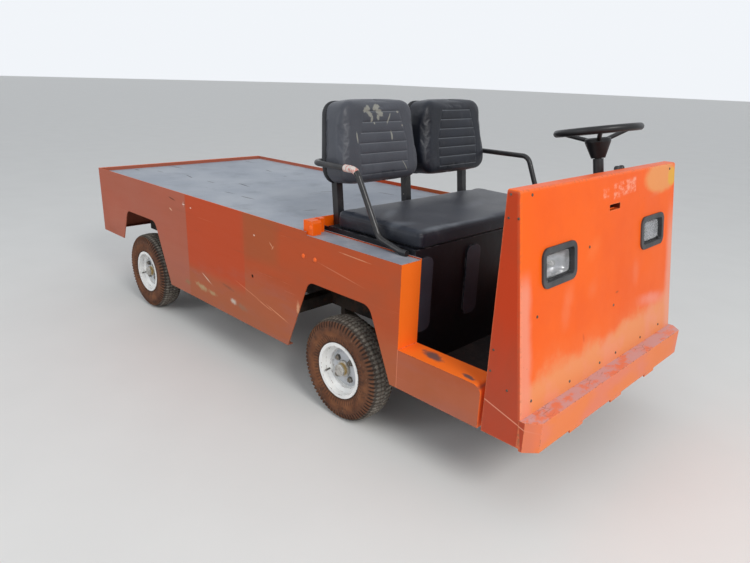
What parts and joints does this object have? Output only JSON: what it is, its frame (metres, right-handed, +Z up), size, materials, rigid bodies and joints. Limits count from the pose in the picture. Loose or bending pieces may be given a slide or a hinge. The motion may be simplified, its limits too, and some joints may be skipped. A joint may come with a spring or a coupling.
{
  "type": "electric burden carrier",
  "caption": "Electric burden carrier: flat cargo deck behind a two-place bench seat, hip rail, folded front cowl with recessed headlights, small pneumatic tyres and steered front wheels.",
  "frame": {"origin": "centre of the vehicle's box, on the ground under the tyres", "axes": "+X forward, +Y to the driver's left, +Z up"},
  "size_m": [2.966, 1.118, 1.1943],
  "materials": {
    "body_orange": "worn gloss",
    "deck_grey": "worn satin",
    "seat_base_black": "satin",
    "seat_vinyl": "worn satin",
    "rail_black": "worn gloss",
    "chassis_black": "dusty satin",
    "battery_case": "matte",
    "pedal_rubber": "matte",
    "wheel_plastic": "satin",
    "lamp_bezel": "satin",
    "lamp_lens": "gloss",
    "rim_white": "worn gloss",
    "tyre_rubber": "dusty matte",
    "hub_steel": "satin"
  },
  "bodies": {
    "chassis": {"chassis_frame": "chassis_black", "side_body_left": "body_orange", "side_body_right": "body_orange", "rear_panel": "body_orange", "cargo_deck": "deck_grey", "seat_bulkhead": "deck_grey", "seat_box": "seat_base_black", "floor_pan": "body_orange", "cowl": "body_orange", "dash_panel": "deck_grey", "front_bumper": "body_orange", "headlight_bezel_left": "lamp_bezel", "headlight_bezel_right": "lamp_bezel", "headlight_lens_left": "lamp_lens", "headlight_lens_right": "lamp_lens", "seat_cushion": "seat_vinyl", "backrest_left": "seat_vinyl", "backrest_right": "seat_vinyl", "seat_posts": "rail_black", "hip_rail": "rail_black", "steering_column": "rail_black", "pedals": "pedal_rubber", "front_axle": "chassis_black", "front_springs": "chassis_black", "rear_axle": "chassis_black", "rear_springs": "chassis_black", "drive_motor": "chassis_black", "battery_pack": "battery_case"},
    "steering": {"steering_wheel": "wheel_plastic"},
    "knuckle_left": {"knuckle_left": "chassis_black"},
    "knuckle_right": {"knuckle_right": "chassis_black"},
    "tie_rod": {"tie_rod": "chassis_black"},
    "wheel_front_left": {"rim_front_left": "rim_white", "tyre_front_left": "tyre_rubber", "hub_front_left": "hub_steel"},
    "wheel_front_right": {"rim_front_right": "rim_white", "tyre_front_right": "tyre_rubber", "hub_front_right": "hub_steel"},
    "wheel_rear_left": {"rim_rear_left": "rim_white", "tyre_rear_left": "tyre_rubber", "hub_rear_left": "hub_steel"},
    "wheel_rear_right": {"rim_rear_right": "rim_white", "tyre_rear_right": "tyre_rubber", "hub_rear_right": "hub_steel"}
  },
  "joints": [
    {"name": "steering_wheel_turn", "type": "hinge", "parent": "chassis", "child": "steering", "pos_m": [1.156, 0.24, 1.12], "axis": [-0.1736, 0, 0.9848], "range_deg": [-440, 440]},
    {"name": "knuckle_left_steer", "type": "hinge", "parent": "chassis", "child": "knuckle_left", "pos_m": [0.635, 0.392, 0.207], "axis": [0, 0, 1], "range_deg": [-28, 28]},
    {"name": "knuckle_right_steer", "type": "hinge", "parent": "chassis", "child": "knuckle_right", "pos_m": [0.635, -0.392, 0.207], "axis": [0, 0, 1], "range_deg": [-28, 28]},
    {"name": "tie_rod_pivot", "type": "hinge", "parent": "knuckle_left", "child": "tie_rod", "pos_m": [0.505, 0.392, 0.165], "axis": [0, 0, 1], "range_deg": [-28, 28]},
    {"name": "wheel_front_left_spin", "type": "hinge", "parent": "knuckle_left", "child": "wheel_front_left", "pos_m": [0.635, 0.499, 0.207], "axis": [0, 1, 0], "continuous": true},
    {"name": "wheel_front_right_spin", "type": "hinge", "parent": "knuckle_right", "child": "wheel_front_right", "pos_m": [0.635, -0.499, 0.207], "axis": [0, 1, 0], "continuous": true},
    {"name": "wheel_rear_left_spin", "type": "hinge", "parent": "chassis", "child": "wheel_rear_left", "pos_m": [-0.971, 0.499, 0.207], "axis": [0, 1, 0], "continuous": true},
    {"name": "wheel_rear_right_spin", "type": "hinge", "parent": "chassis", "child": "wheel_rear_right", "pos_m": [-0.971, -0.499, 0.207], "axis": [0, 1, 0], "continuous": true}
  ],
  "couplings": [
    {"joint": "knuckle_left_steer", "follows": "steering_wheel_turn", "ratio": 0.0625},
    {"joint": "knuckle_right_steer", "follows": "steering_wheel_turn", "ratio": 0.0625},
    {"joint": "tie_rod_pivot", "follows": "steering_wheel_turn", "ratio": -0.0625}
  ]
}
